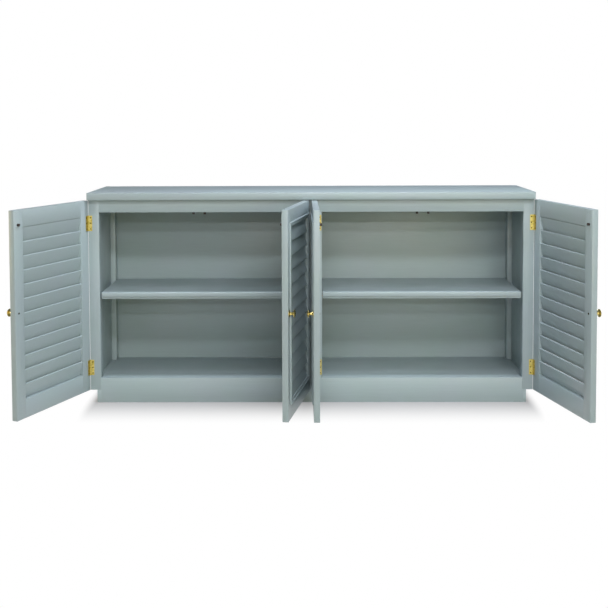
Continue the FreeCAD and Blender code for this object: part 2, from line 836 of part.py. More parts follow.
class Door:
    """One louvred door about its hinge pins.

    In its own frame the pin axis is x = 0, y = 0, the closed door reaches towards hand * X, its
    back is towards +Y and z is measured from the floor.
    """

    def __init__(self, name, pin_x, hand, width_text, width, opening):
        self.name = name
        self.hand = hand
        self.width_text = width_text
        self.width = width
        self.frame = place(pin_x, pin_y, 0.0, -hand * opening)
        self.back_y = -hinge_gap / 2
        self.face_y = self.back_y - size.door_thickness
        self.free_edge = pin_out + width
        self.free_inner = self.free_edge - size.door_stile_width
        self.hinge_inner = pin_out + size.door_stile_width
        self.opening_text = "(%s) - 2 * door_stile_width" % width_text

    def at(self, x, y, z):
        """The placement of a piece whose own origin is at a point of the door's frame."""
        return self.frame.multiply(place(self.hand * x, y, z))

    def stile(self, label, inner_x, outward):
        """A stile with twelve slanted slat mortises and two tenon mortises in its inner edge."""
        way = self.hand * outward
        body = new_body(label)
        outline = sketch_on(body, "XY_Plane", label + "_outline")
        corner_rectangle(
            outline, "door_stile_width", "door_thickness", way * size.door_stile_width, -size.door_thickness
        )
        pad(body, outline, label + "_blank", DOOR_HEIGHT)
        slot = sketch_on(body, "YZ_Plane", label + "_slat_mortise")
        rounded_slot(
            slot,
            size.slat_thickness / 2 + size.mortise_play,
            -size.door_thickness / 2 - slat_core * math.sin(math.radians(size.slat_tilt)) / 2,
            first_slat - slat_rise / 2,
            "slat_thickness / 2 + mortise_play",
            "-door_thickness / 2 - %s / 2" % SLAT_LEAN,
            "door_bottom_rail + slat_end_gap + slat_thickness / 2",
        )
        mortise = pocket(body, slot, label + "_mortise", "slat_tenon + slat_end_play", way > 0)
        row = body.newObject("PartDesign::LinearPattern", label + "_mortises")
        row.Originals = [mortise]
        row.Direction = (origin_feature(body, "Z_Axis"), [""])
        row.setExpression(
            "Length",
            linked("%s - 2 * slat_end_gap - slat_thickness - %s" % (LOUVRE_HEIGHT, SLAT_RISE)),
        )
        row.setExpression("Occurrences", linked("slat_count"))
        body.Tip = row
        doc.recompute()
        for end in ("low", "high"):
            sketch = sketch_on(body, "YZ_Plane", "%s_%s_tenon_mortise" % (label, end))
            self.tenon_outline(sketch, end)
            pocket(body, sketch, "%s_%s_mortise" % (label, end), "rail_tenon_length", way > 0)
        body.Placement = self.at(inner_x, self.back_y, size.door_bottom)
        return body

    def tenon_outline(self, sketch, end):
        """The section of a rail's tenon, centred in the door's thickness."""
        low_y = -(size.door_thickness + size.rail_tenon_thickness) / 2
        rail = "door_bottom_rail" if end == "low" else "door_top_rail"
        height = getattr(size, rail) - 2 * size.rail_tenon_shoulder
        low_z = size.rail_tenon_shoulder
        start = "rail_tenon_shoulder"
        if end == "high":
            low_z += door_height - size.door_top_rail
            start = DOOR_HEIGHT + " - door_top_rail + rail_tenon_shoulder"
        corners = [
            (low_y, low_z),
            (low_y + size.rail_tenon_thickness, low_z),
            (low_y + size.rail_tenon_thickness, low_z + height),
            (low_y, low_z + height),
        ]
        points = [FreeCAD.Vector(y, z, 0) for y, z in corners]
        for first, second in zip(points, points[1:] + points[:1]):
            sketch.addGeometry(Part.LineSegment(first, second), False)
        for line in range(4):
            sketch.addConstraint(Sketcher.Constraint("Coincident", line, 2, (line + 1) % 4, 1))
        for line, kind in enumerate(("Horizontal", "Vertical", "Horizontal", "Vertical")):
            sketch.addConstraint(Sketcher.Constraint(kind, line))
        thick = Sketcher.Constraint("Distance", 0, size.rail_tenon_thickness)
        tall = Sketcher.Constraint("Distance", 1, height)
        dimension(sketch, "thick", thick, "rail_tenon_thickness")
        dimension(sketch, "tall", tall, rail + " - 2 * rail_tenon_shoulder")
        dimension(
            sketch,
            "from_back",
            Sketcher.Constraint("DistanceX", -1, 1, 0, 1, low_y),
            "-(door_thickness + rail_tenon_thickness) / 2",
        )
        dimension(sketch, "from_end", Sketcher.Constraint("DistanceY", -1, 1, 0, 1, low_z), start)

    def rail(self, label, rail_size, low_z):
        """A rail between the stiles with a tenon at each end."""
        opening = self.free_inner - self.hinge_inner
        low_x = -self.hinge_inner - opening if self.hand < 0 else self.hinge_inner
        board = box(
            label + "_board",
            self.opening_text,
            "door_thickness",
            rail_size,
            low_x,
            self.face_y,
            size.door_bottom + low_z,
        )
        tenon = box(
            label + "_tenon",
            self.opening_text + " + 2 * rail_tenon_length",
            "rail_tenon_thickness",
            rail_size + " - 2 * rail_tenon_shoulder",
            low_x - size.rail_tenon_length,
            self.face_y + (size.door_thickness - size.rail_tenon_thickness) / 2,
            size.door_bottom + low_z + size.rail_tenon_shoulder,
        )
        rail = fuse(label, [board, tenon])
        rail.Placement = self.frame
        return rail

    def slats(self):
        """Twelve slats with rounded edges, their ends in the stiles' mortises."""
        label = self.name + "_slats"
        opening = self.free_inner - self.hinge_inner
        body = new_body(label + "_master")
        sketch = sketch_on(body, "YZ_Plane", label + "_section")
        lean = slat_core * math.sin(math.radians(size.slat_tilt))
        rounded_slot(
            sketch,
            size.slat_thickness / 2,
            -lean / 2,
            -slat_rise / 2,
            "slat_thickness / 2",
            "-%s / 2" % SLAT_LEAN,
            "-%s / 2" % SLAT_RISE,
        )
        pad(body, sketch, label + "_length", self.opening_text + " + 2 * slat_tenon")
        low_x = self.hinge_inner - size.slat_tenon
        if self.hand < 0:
            low_x = self.hinge_inner + opening + size.slat_tenon
        middle_y = self.back_y - size.door_thickness / 2
        shapes = []
        for number in range(int(size.slat_count)):
            height = size.door_bottom + first_slat + number * slat_pitch
            shapes.append(placed(body.Shape, self.at(low_x, middle_y, height)))
        return gather(label, shapes)

    def moulding(self):
        """Four mitred strips of moulding round the louvres on the outer face.

        The section has a rounded ridge along its outer side and slopes down to the louvres.
        """
        low_x, high_x = self.hinge_inner, self.free_inner
        low_z = size.door_bottom + size.door_bottom_rail
        high_z = low_z + louvre_height
        runs = (
            ((low_x, low_z), (high_x, low_z), (0, -1)),
            ((high_x, low_z), (high_x, high_z), (1, 0)),
            ((high_x, high_z), (low_x, high_z), (0, 1)),
            ((low_x, high_z), (low_x, low_z), (-1, 0)),
        )
        strips = [self.mitred_strip(*run) for run in runs]
        node = gather(self.name + "_moulding", strips)
        node.Placement = self.frame
        return node

    def mitred_strip(self, start, end, outward):
        """One strip of moulding between two corners of the louvre opening, mitred at both ends."""

        def at(point, away, proud):
            x = point[0] + outward[0] * away
            z = point[1] + outward[1] * away
            return FreeCAD.Vector(self.hand * x, self.face_y - proud, z)

        long_way = (at(end, 0, 0) - at(start, 0, 0)).normalize()
        reach = size.moulding_width
        ridge = size.moulding_ridge / 2
        foot_of_ridge = size.moulding_width - size.moulding_ridge
        slope_top = size.moulding_height - ridge
        profile = [
            at(start, 0, 0),
            at(start, 0, size.moulding_toe),
            at(start, foot_of_ridge, slope_top),
            at(start, size.moulding_width - ridge, size.moulding_height),
            at(start, size.moulding_width, slope_top),
            at(start, size.moulding_width, 0),
        ]
        edges = [
            Part.makeLine(profile[0], profile[1]),
            Part.makeLine(profile[1], profile[2]),
            Part.Arc(profile[2], profile[3], profile[4]).toShape(),
            Part.makeLine(profile[4], profile[5]),
            Part.makeLine(profile[5], profile[0]),
        ]
        section = Part.Face(Part.Wire(edges))
        section.translate(long_way * -reach)
        span = (at(end, 0, 0) - at(start, 0, 0)).Length + 2 * reach
        bar = section.extrude(long_way * span)
        corners = [
            at(start, 0, 0),
            at(end, 0, 0),
            at(end, reach, 0) + long_way * reach,
            at(start, reach, 0) - long_way * reach,
        ]
        plan = Part.Face(Part.makePolygon(corners + corners[:1]))
        block = plan.extrude(FreeCAD.Vector(0, -2 * size.moulding_height, 0))
        return bar.common(block)

    def knob(self):
        """A turned brass knob on a round plate, on the free stile."""
        projection, head = size.knob_projection, size.knob_head_radius
        rose, plate, neck = size.knob_rose_radius, size.knob_rose_thickness, size.knob_neck_radius
        bevel, flare = size.knob_rose_bevel, size.knob_neck_flare
        rim_top = projection - size.knob_dome
        rim_foot = rim_top - size.knob_rim
        ball = (head**2 + size.knob_dome**2) / (2 * size.knob_dome)
        half_turn = math.asin(head / ball) / 2
        crown = (ball * math.sin(half_turn), projection - ball + ball * math.cos(half_turn))
        out, up = head - neck, rim_foot - size.knob_neck_end
        slope = math.hypot(out, up)
        cove = (
            neck + out / 2 - size.knob_cove * up / slope,
            size.knob_neck_end + up / 2 + size.knob_cove * out / slope,
        )
        bore = size.bolt_radius
        outline = [
            (bore, 0.0),
            (rose, 0.0),
            (rose, plate - bevel),
            (rose - bevel, plate),
            (neck + flare, plate),
            (neck, plate + flare),
            (neck, size.knob_neck_end, *cove),
            (head, rim_foot),
            (head, rim_top, *crown),
            (0.0, projection),
            (0.0, size.knob_neck_end),
            (bore, size.knob_neck_end),
        ]
        master = turned(self.name + "_knob_master", outline)
        turn = FreeCAD.Placement(
            FreeCAD.Vector(0, 0, 0), FreeCAD.Rotation(FreeCAD.Vector(0, 0, 1), FreeCAD.Vector(0, -1, 0))
        )
        where = self.at(self.free_edge - size.knob_from_edge, self.face_y, size.knob_height)
        return gather(self.name + "_knob", [placed(master.Shape, where.multiply(turn))])

    def strike(self):
        """A dark stub on the inside of the free stile, which meets its catch."""
        reach, radius, dome = size.strike_reach, size.strike_radius, size.strike_dome
        outline = [
            (0.0, 0.0),
            (radius, 0.0),
            (radius, reach - dome),
            (radius - dome, reach),
            (0.0, reach),
        ]
        master = turned(self.name + "_strike_master", outline)
        turn = FreeCAD.Placement(
            FreeCAD.Vector(0, 0, 0), FreeCAD.Rotation(FreeCAD.Vector(0, 0, 1), FreeCAD.Vector(0, 1, 0))
        )
        from_edge = size.catch_from_meeting - size.door_meeting_gap / 2
        where = self.at(self.free_edge - from_edge, self.back_y, catch_height)
        return gather(self.name + "_strike", [placed(master.Shape, where.multiply(turn))])

    def handed(self, shape):
        """The shape, or its mirror image on a door hung from the right."""
        if self.hand > 0:
            return shape
        return shape.mirror(FreeCAD.Vector(0, 0, 0), FreeCAD.Vector(1, 0, 0))

    def leaves(self, master):
        """The two leaves that are screwed to the door."""
        shapes = [
            placed(self.handed(master.Shape), self.frame.multiply(place(z=z))) for z in hinge_starts()
        ]
        return gather(self.name + "_hinge_leaves", shapes)

    def frame_pieces(self, master):
        """Copies of a hinge piece that stays with the case, at this door's hinges."""
        still = place(self.frame.Base.x, pin_y)
        return [placed(self.handed(master.Shape), still.multiply(place(z=z))) for z in hinge_starts()]

    def frame_screws(self, master):
        """The screws that hold this door's hinges to the case."""
        still = place(self.frame.Base.x, pin_y)
        turn = FreeCAD.Placement(
            FreeCAD.Vector(0, 0, 0), FreeCAD.Rotation(FreeCAD.Vector(0, 0, 1), FreeCAD.Vector(0, 1, 0))
        )
        shapes = []
        for z in leaf_screw_heights():
            spot = place(self.hand * size.screw_from_pin, size.leaf_play / 2, z)
            shapes.append(placed(master.Shape, still.multiply(spot).multiply(turn)))
        return shapes

    def fixings(self, master):
        """The door's own hinge screws and the bolt that holds its knob."""
        turn = FreeCAD.Placement(
            FreeCAD.Vector(0, 0, 0), FreeCAD.Rotation(FreeCAD.Vector(0, 0, 1), FreeCAD.Vector(0, -1, 0))
        )
        shapes = []
        for z in leaf_screw_heights():
            where = self.at(size.screw_from_pin, -size.leaf_play / 2, z)
            shapes.append(placed(master.Shape, where.multiply(turn)))
        head, bevel = size.bolt_head_radius, size.bolt_head_bevel
        bolt_end = size.door_thickness + size.knob_neck_end
        outline = [
            (0.0, -size.bolt_head_height),
            (head - bevel, -size.bolt_head_height),
            (head, bevel - size.bolt_head_height),
            (head, 0.0),
            (size.bolt_radius, 0.0),
            (size.bolt_radius, bolt_end),
            (0.0, bolt_end),
        ]
        bolt = turned(self.name + "_bolt_master", outline)
        where = self.at(self.free_edge - size.knob_from_edge, self.back_y, size.knob_height)
        shapes.append(placed(bolt.Shape, where.multiply(turn)))
        return gather(self.name + "_fixings", shapes)

    def gains(self, label):
        """The grooves and recesses of the two hinges in the back of the hinge stile."""
        tools = hinge_gains(label, self.hand, -hinge_gap / 2)
        for tool in tools:
            tool.Placement = self.frame.multiply(tool.Placement)
        return tools

    def drilled_stile(self, label, inner_x, outward, holes, gains=()):
        """A stile with round holes from its back face, each (x, z, radius, depth), and its gains."""
        stile = self.stile(label + "_mortised", inner_x, outward)
        tools = list(gains)
        for number, (x, z, radius, depth) in enumerate(holes):
            tool = rod("%s_drill_%d" % (label, number), radius, depth, (0, 0, 0), (0, -1, 0))
            tool.Placement = self.at(x, self.back_y, z).multiply(tool.Placement)
            tools.append(tool)
        return cut(label, stile, tools)

    def build(self, leaf_master, screw_master):
        """Every piece that swings with the door."""
        screw_holes = [
            (size.screw_from_pin, z, "screw_shank_radius", SCREW_DEPTH) for z in leaf_screw_heights()
        ]
        hinge_label = self.name + "_hinge_stile"
        knob_x = self.free_edge - size.knob_from_edge
        bolt_hole = [(knob_x, size.knob_height, "bolt_radius", "door_thickness")]
        return [
            self.drilled_stile(hinge_label, self.hinge_inner, -1, screw_holes, self.gains(hinge_label)),
            self.drilled_stile(self.name + "_free_stile", self.free_inner, 1, bolt_hole),
            self.rail(self.name + "_top_rail", "door_top_rail", door_height - size.door_top_rail),
            self.rail(self.name + "_bottom_rail", "door_bottom_rail", 0.0),
            self.slats(),
            self.moulding(),
            self.knob(),
            self.strike(),
            self.leaves(leaf_master),
            self.fixings(screw_master),
        ]


# ---------------------------------------------------------------- the whole cabinet


def check(parts):
    """Every object recomputed without an error, and every sub-part a valid shape."""
    for thing in doc.Objects:
        if "Invalid" in thing.State or "Error" in thing.State:
            raise RuntimeError(thing.Label + " did not recompute")
    for part in parts:
        if part.Shape.isNull() or not part.Shape.isValid() or not part.Shape.Solids:
            raise RuntimeError(part.Label + " has no valid solid")


OUTER_WIDTH = (
    "frame_width / 2 - door_meeting - door_meeting_gap / 2"
)
outer_width = half_width - size.door_meeting - size.door_meeting_gap / 2
inner_width = size.door_meeting - size.door_meeting_gap / 2 - size.inner_pin_line - pin_out
INNER_WIDTH = (
    "door_meeting - door_meeting_gap / 2 - inner_pin_line - pin_outset"
)

doors = [
    Door("door_1", -outer_pin_x, 1, OUTER_WIDTH, outer_width, size.door_1_angle),
    Door("door_2", -size.inner_pin_line, -1, INNER_WIDTH, inner_width, size.door_2_angle),
    Door("door_3", size.inner_pin_line, 1, INNER_WIDTH, inner_width, size.door_3_angle),
    Door("door_4", outer_pin_x, -1, OUTER_WIDTH, outer_width, size.door_4_angle),
]

last = int(size.knuckle_count)
frame_leaf = hinge_leaf("frame_leaf", list(range(0, last, 2)), 1)
door_leaf = hinge_leaf("door_leaf", list(range(1, last, 2)), -1)
pin = hinge_pin()
screw = leaf_screw()
doc.recompute()

parts = [
    build_top_board(),
    build_side_panel("side_panel_left", -1),
    build_side_panel("side_panel_right", 1),
    build_centre_partition(),
    build_floor_board(),
    build_back_panel(),
    build_front_post("front_post_left", -1),
    build_front_post("front_post_right", 1),
    build_centre_stile(),
    build_top_rail(),
    build_front_apron(),
    build_rear_posts(),
    build_plinth_frame(),
    build_shelf("shelf_left", -1),
    build_shelf("shelf_right", 1),
    build_shelf_pegs(),
    build_catches(),
    gather("hinge_frame_leaves", [s for door in doors for s in door.frame_pieces(frame_leaf)]),
    gather("hinge_pins", [s for door in doors for s in door.frame_pieces(pin)]),
    gather("hinge_frame_screws", [s for door in doors for s in door.frame_screws(screw)]),
]
for door in doors:
    parts += door.build(door_leaf, screw)

doc.recompute()
check(parts)
os.makedirs("parts", exist_ok=True)
for part in parts:
    part.Shape.exportStep("parts/%s.step" % part.Label)
print("%d nodes, slat pitch %.2f mm" % (len(parts), slat_pitch))
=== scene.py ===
"""The louvred door cabinet, dressed: eased and painted boards, louvres, brass fittings, studio.

Metres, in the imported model's frame: +X to the right, +Y to the back, +Z up from the floor.
"""

import json
import logging
import math
from collections.abc import Iterable, Sequence
from dataclasses import dataclass, field
from enum import Enum

import bmesh
import bpy
from mathutils import Matrix, Vector


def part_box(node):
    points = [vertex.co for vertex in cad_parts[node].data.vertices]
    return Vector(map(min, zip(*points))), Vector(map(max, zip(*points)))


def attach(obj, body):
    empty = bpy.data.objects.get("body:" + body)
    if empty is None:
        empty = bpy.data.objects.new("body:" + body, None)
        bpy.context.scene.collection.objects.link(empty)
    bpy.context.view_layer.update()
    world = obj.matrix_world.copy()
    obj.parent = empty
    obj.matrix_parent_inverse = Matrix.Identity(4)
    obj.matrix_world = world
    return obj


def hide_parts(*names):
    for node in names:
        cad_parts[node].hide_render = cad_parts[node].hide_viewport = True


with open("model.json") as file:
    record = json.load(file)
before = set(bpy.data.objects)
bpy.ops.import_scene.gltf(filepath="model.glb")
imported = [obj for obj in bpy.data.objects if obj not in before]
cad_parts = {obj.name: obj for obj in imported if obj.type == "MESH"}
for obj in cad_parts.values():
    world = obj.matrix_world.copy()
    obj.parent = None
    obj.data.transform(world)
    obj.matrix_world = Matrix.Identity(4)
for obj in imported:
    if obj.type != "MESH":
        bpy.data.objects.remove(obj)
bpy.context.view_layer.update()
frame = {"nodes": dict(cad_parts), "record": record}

MM = 0.001
IMAGE_PX = 608
SENSOR_MM = 36.0
SHARP_DEGREES = 38
MERGE = 0.002 * MM
# levels of a noise pattern between which a finish changes
NOISE_LOW, NOISE_HIGH = 0.3, 0.7
Point = tuple[float, float, float]
# the point most lamps face, and the height of the ceiling's strips
MIDDLE: Point = (0.0, 0.0, 0.6)
CEILING = 3.41
# the lamps' tints, from the coolest to the warmest
COOL, PALE, CREAM, AMBER = "f0f3ff", "fbfbff", "fff6c4", "ffe7bb"
log = logging.getLogger("cabinet")

# radius and height of the knob, from the plate's foot to the top of the head, in mm
KNOB_PROFILE = (
    (0.0, 0.0), (13.2, 0.0), (13.5, 0.3), (13.5, 1.4), (13.1, 1.8), (12.4, 2.3), (10.4, 2.5),
    (8.2, 2.7), (7.0, 3.4), (6.0, 4.6), (5.5, 6.4), (5.4, 9.0), (5.6, 12.0), (6.3, 14.4),
    (7.6, 16.0), (9.6, 17.2), (12.0, 18.1), (14.2, 18.7), (15.0, 19.3), (15.0, 20.6),
    (14.6, 21.1), (12.6, 22.1), (9.6, 23.3), (5.6, 24.4), (2.4, 24.88), (0.0, 25.0),
)


# ------------------------------------------------------------------ small helpers


def linear(hex_colour: str) -> tuple[float, float, float, float]:
    """Turns an sRGB hex colour into linear light.

    Args:
        hex_colour: six hex digits, such as "9aa9ad".

    Returns:
        Red, green, blue and an alpha of 1.
    """
    parts = [int(hex_colour[i : i + 2], 16) / 255 for i in (0, 2, 4)]
    light = [c / 12.92 if c <= 0.04045 else ((c + 0.055) / 1.055) ** 2.4 for c in parts]
    return (light[0], light[1], light[2], 1.0)


def add_node(
    tree: bpy.types.NodeTree,
    kind: str,
    settings: dict[str, object] | None = None,
    links: dict[str | int, object] | None = None,
) -> bpy.types.Node:
    """Adds a node with its settings, its values and its links.

    Args:
        tree: the material's or world's node tree.
        kind: the node's type name.
        settings: properties of the node itself.
        links: for each input, a value or the output socket that feeds it.

    Returns:
        The new node.
    """
    node = tree.nodes.new(kind)
    for key, value in (settings or {}).items():
        setattr(node, key, value)
    for key, value in (links or {}).items():
        if isinstance(value, bpy.types.NodeSocket):
            tree.links.new(value, node.inputs[key])
        else:
            node.inputs[key].default_value = value
    return node


def new_material(name: str) -> tuple[bpy.types.Material, bpy.types.NodeTree]:
    """Makes an empty node material.

    Args:
        name: the material's name.

    Returns:
        The material and its cleared node tree.
    """
    material = bpy.data.materials.new(name)
    material.use_nodes = True
    material.node_tree.nodes.clear()
    return material, material.node_tree


def ramp_between(
    tree: bpy.types.NodeTree,
    factor: bpy.types.NodeSocket,
    low: str,
    high: str,
    start: float,
    stop: float,
) -> bpy.types.NodeSocket:
    """Blends two hex colours where a pattern runs between two levels.

    Args:
        tree: the material's node tree.
        factor: the pattern's output.
        low: hex colour below start.
        high: hex colour above stop.
        start: level at which the blend begins.
        stop: level at which it ends.

    Returns:
        The blended colour's output socket.
    """
    ramp = add_node(tree, "ShaderNodeValToRGB", links={"Fac": factor})
    ramp.color_ramp.elements[0].position = start
    ramp.color_ramp.elements[0].color = linear(low)
    ramp.color_ramp.elements[1].position = stop
    ramp.color_ramp.elements[1].color = linear(high)
    return ramp.outputs["Color"]


def noise_of(
    tree: bpy.types.NodeTree,
    place: bpy.types.NodeSocket,
    size_mm: float,
    detail: float,
    roughness: float = 0.5,
) -> bpy.types.NodeSocket:
    """Adds a noise pattern.

    Args:
        tree: the material's node tree.
        place: the coordinates it is drawn on.
        size_mm: the size of its blotches.
        detail: how many finer layers it has.
        roughness: how strong the finer layers are.

    Returns:
        The pattern's output socket.
    """
    # one unit of noise is one metre, so a pattern of n mm needs a scale of 1000 / n
    links = {"Vector": place, "Scale": 1000 / size_mm, "Detail": detail, "Roughness": roughness}
    return add_node(tree, "ShaderNodeTexNoise", links=links).outputs["Fac"]


def spread(
    tree: bpy.types.NodeTree, pattern: bpy.types.NodeSocket, low: float, high: float
) -> bpy.types.NodeSocket:
    """Spreads the middle levels of a noise pattern between two values.

    Args:
        tree: the material's node tree.
        pattern: the pattern's output.
        low: the value at NOISE_LOW and below.
        high: the value at NOISE_HIGH and above.

    Returns:
        The value's output socket.
    """
    links = {
        "Value": pattern,
        "From Min": NOISE_LOW,
        "From Max": NOISE_HIGH,
        "To Min": low,
        "To Max": high,
    }
    return add_node(tree, "ShaderNodeMapRange", links=links).outputs["Result"]


def relief_of(
    tree: bpy.types.NodeTree, height: bpy.types.NodeSocket, strength: float, depth_mm: float
) -> bpy.types.NodeSocket:
    """Turns a pattern into a slight relief of the surface.

    Args:
        tree: the material's node tree.
        height: the pattern's output.
        strength: how much of the relief shows.
        depth_mm: its depth.

    Returns:
        The output socket of the tilted normal.
    """
    links = {"Height": height, "Strength": strength, "Distance": depth_mm * MM}
    return add_node(tree, "ShaderNodeBump", links=links).outputs[0]


# ------------------------------------------------------------------ finishes


class Grain(Enum):
    """The way the wood under the paint runs, as an axis number."""

    ALONG_X = 0
    ALONG_Z = 2


@dataclass(frozen=True)
class SatinEnamel:
    """Satin oil enamel, brushed and sanded over close-grained softwood.

    The eye gets a soft sheen, a slight blue-green drift from coat to coat, and the faint draw of
    the brush along each board. In clouds the sheen goes a little duller and glossier than its
    roughness.
    """

    name: str
    colour: str
    drift: str
    grain: Grain
    roughness: float = 0.33
    duller: float = 0.05
    glossier: float = 0.04
    brush_mm: float = 2.2
    brush_draw: float = 0.02
    streak_dark: float = 0.965
    streak_light: float = 1.03
    cloud_mm: float = 160.0
    drift_from: float = 0.35
    drift_to: float = 0.7
    peel_mm: float = 1.2
    relief_mm: float = 0.05
    relief: float = 0.35
    ior: float = 1.48

    def make(self) -> bpy.types.Material:
        """Builds the enamel as a material on Object coordinates."""
        material, tree = new_material(self.name)
        place = add_node(tree, "ShaderNodeTexCoord").outputs["Object"]
        stretch = [1.0, 1.0, 1.0]
        stretch[self.grain.value] = self.brush_draw
        along = add_node(tree, "ShaderNodeMapping", links={"Vector": place, "Scale": stretch})
        brush = noise_of(tree, along.outputs[0], self.brush_mm, detail=3.0, roughness=0.55)
        cloud = noise_of(tree, place, self.cloud_mm, detail=2.0)
        base = ramp_between(tree, cloud, self.colour, self.drift, self.drift_from, self.drift_to)
        streak = spread(tree, brush, self.streak_dark, self.streak_light)
        tinted = add_node(
            tree, "ShaderNodeVectorMath", {"operation": "SCALE"}, {0: base, "Scale": streak}
        )
        sheen = spread(tree, cloud, self.roughness - self.glossier, self.roughness + self.duller)
        # the fine peel of a rolled undercoat, under the brush marks
        peel = noise_of(tree, place, self.peel_mm, detail=1.0)
        height = add_node(tree, "ShaderNodeMath", {"operation": "ADD"}, {0: brush, 1: peel})
        bump = relief_of(tree, height.outputs[0], self.relief, self.relief_mm)
        shader = add_node(
            tree,
            "ShaderNodeBsdfPrincipled",
            links={
                "Base Color": tinted.outputs[0],
                "Roughness": sheen,
                "IOR": self.ior,
                "Normal": bump,
            },
        )
        add_node(tree, "ShaderNodeOutputMaterial", links={"Surface": shader.outputs[0]})
        return material


@dataclass(frozen=True)
class LacqueredBrass:
    """Polished brass under clear lacquer: a warm mirror with fine wipe marks and dull spots."""

    name: str
    colour: str
    dull: str
    roughness: float
    duller: float = 0.08
    glossier: float = 0.05
    wipe_mm: float = 0.8
    spots_mm: float = 6.4
    dull_to: float = 0.3
    bright_from: float = 0.6
    relief_mm: float = 0.03
    relief: float = 0.15

    def make(self) -> bpy.types.Material:
        """Builds the brass as a material on Object coordinates."""
        material, tree = new_material(self.name)
        place = add_node(tree, "ShaderNodeTexCoord").outputs["Object"]
        wipe = noise_of(tree, place, self.wipe_mm, detail=4.0)
        spots = noise_of(tree, place, self.spots_mm, detail=2.0)
        colour = ramp_between(tree, spots, self.dull, self.colour, self.dull_to, self.bright_from)
        rough = spread(tree, wipe, self.roughness - self.glossier, self.roughness + self.duller)
        bump = relief_of(tree, wipe, self.relief, self.relief_mm)
        shader = add_node(
            tree,
            "ShaderNodeBsdfPrincipled",
            links={"Base Color": colour, "Metallic": 1.0, "Roughness": rough, "Normal": bump},
        )
        add_node(tree, "ShaderNodeOutputMaterial", links={"Surface": shader.outputs[0]})
        return material


@dataclass(frozen=True)
class Mottled:
    """A plain finish with a fine mottle: dark moulded nylon, or bare turned hardwood."""

    name: str
    colour: str
    drift: str
    roughness: float
    mottle_mm: float
    drift_from: float = 0.35
    drift_to: float = 0.65
    relief_mm: float = 0.05
    relief: float = 0.2
    ior: float = 1.5

    def make(self) -> bpy.types.Material:
        """Builds the finish as a material on Object coordinates."""
        material, tree = new_material(self.name)
        place = add_node(tree, "ShaderNodeTexCoord").outputs["Object"]
        mottle = noise_of(tree, place, self.mottle_mm, detail=3.0)
        colour = ramp_between(tree, mottle, self.colour, self.drift, self.drift_from, self.drift_to)
        bump = relief_of(tree, mottle, self.relief, self.relief_mm)
        shader = add_node(
            tree,
            "ShaderNodeBsdfPrincipled",
            links={
                "Base Color": colour,
                "Roughness": self.roughness,
                "IOR": self.ior,
                "Normal": bump,
            },
        )
        add_node(tree, "ShaderNodeOutputMaterial", links={"Surface": shader.outputs[0]})
        return material


@dataclass
class PaintBox:
    """Every finish in the cabinet, made once."""

    enamel: dict[Grain, bpy.types.Material] = field(default_factory=dict)
    knob_brass: bpy.types.Material | None = None
    hinge_brass: bpy.types.Material | None = None
    screw_brass: bpy.types.Material | None = None
    nylon: bpy.types.Material | None = None
    beech: bpy.types.Material | None = None

    def fill(self) -> "PaintBox":
        """Makes the materials and returns the box."""
        for grain in Grain:
            # pale blue-grey enamel: a shade greener where the coat is thin
            finish = SatinEnamel("satin_enamel_" + grain.name.lower(), "9caaae", "9aabac", grain)
            self.enamel[grain] = finish.make()
        self.knob_brass = LacqueredBrass("turned_brass", "dccb86", "c4b062", 0.26).make()
        self.hinge_brass = LacqueredBrass("stamped_brass", "d2c274", "b0a04c", 0.38).make()
        # brass darkened far below its own tone: painted shade that stands in for the shadowed slots
        # of the screw heads
        self.screw_brass = LacqueredBrass("screw_brass", "453c20", "2c2614", 0.5).make()
        # moulded nylon, dark brown and matt
        self.nylon = Mottled("brown_nylon", "2a211d", "352a24", 0.55, 1.0).make()
        # turned beech pegs, bare and close-grained
        self.beech = Mottled("bare_beech", "c2a078", "b08c62", 0.6, 2.0).make()
        return self


# ------------------------------------------------------------------ mesh building


def eased_board(
    size: Point, centre: Point, ease: float, along: Sequence[int] = (0, 1, 2), segments: int = 2
) -> bmesh.types.BMesh:
    """Makes a board with its edges eased.

    Args:
        size: length along X, Y and Z.
        centre: the middle of the board.
        ease: radius of the eased edges.
        along: the axes whose parallel edges are eased.
        segments: steps in each eased edge.

    Returns:
        The board's mesh.
    """
    mesh = bmesh.new()
    bmesh.ops.create_cube(mesh, size=1.0)
    bmesh.ops.scale(mesh, vec=Vector(size), verts=mesh.verts)
    bmesh.ops.translate(mesh, vec=Vector(centre), verts=mesh.verts)
    chosen = []
    for edge in mesh.edges:
        way = edge.verts[1].co - edge.verts[0].co
        axis = max(range(3), key=lambda i: abs(way[i]))
        if axis in along:
            chosen.append(edge)
    flat = set(mesh.faces)
    made = bmesh.ops.bevel(
        mesh,
        geom=chosen,
        offset=ease,
        offset_type="OFFSET",
        affect="EDGES",
        segments=segments,
        profile=0.5,
        material=-1,
        clamp_overlap=True,
    )
    for face in made["faces"]:
        if face.is_valid and face not in flat:
            face.smooth = True
    return mesh


def turned(profile: Sequence[tuple[float, float]], steps: int = 48) -> bmesh.types.BMesh:
    """Turns a profile of (radius, height) points about Z.

    Args:
        profile: points from the foot to the top, both on the axis.
        steps: facets round the piece.

    Returns:
        A closed, smooth mesh.
    """
    mesh = bmesh.new()
    verts = [mesh.verts.new((radius, 0.0, height)) for radius, height in profile]
    edges = [mesh.edges.new(pair) for pair in zip(verts, verts[1:])]
    bmesh.ops.spin(
        mesh,
        geom=verts + edges,
        cent=(0, 0, 0),
        axis=(0, 0, 1),
        angle=math.tau,
        steps=steps,
        use_merge=True,
        use_normal_flip=False,
    )
    bmesh.ops.remove_doubles(mesh, verts=mesh.verts, dist=MERGE)
    bmesh.ops.recalc_face_normals(mesh, faces=mesh.faces)
    for face in mesh.faces:
        face.smooth = True
    return mesh


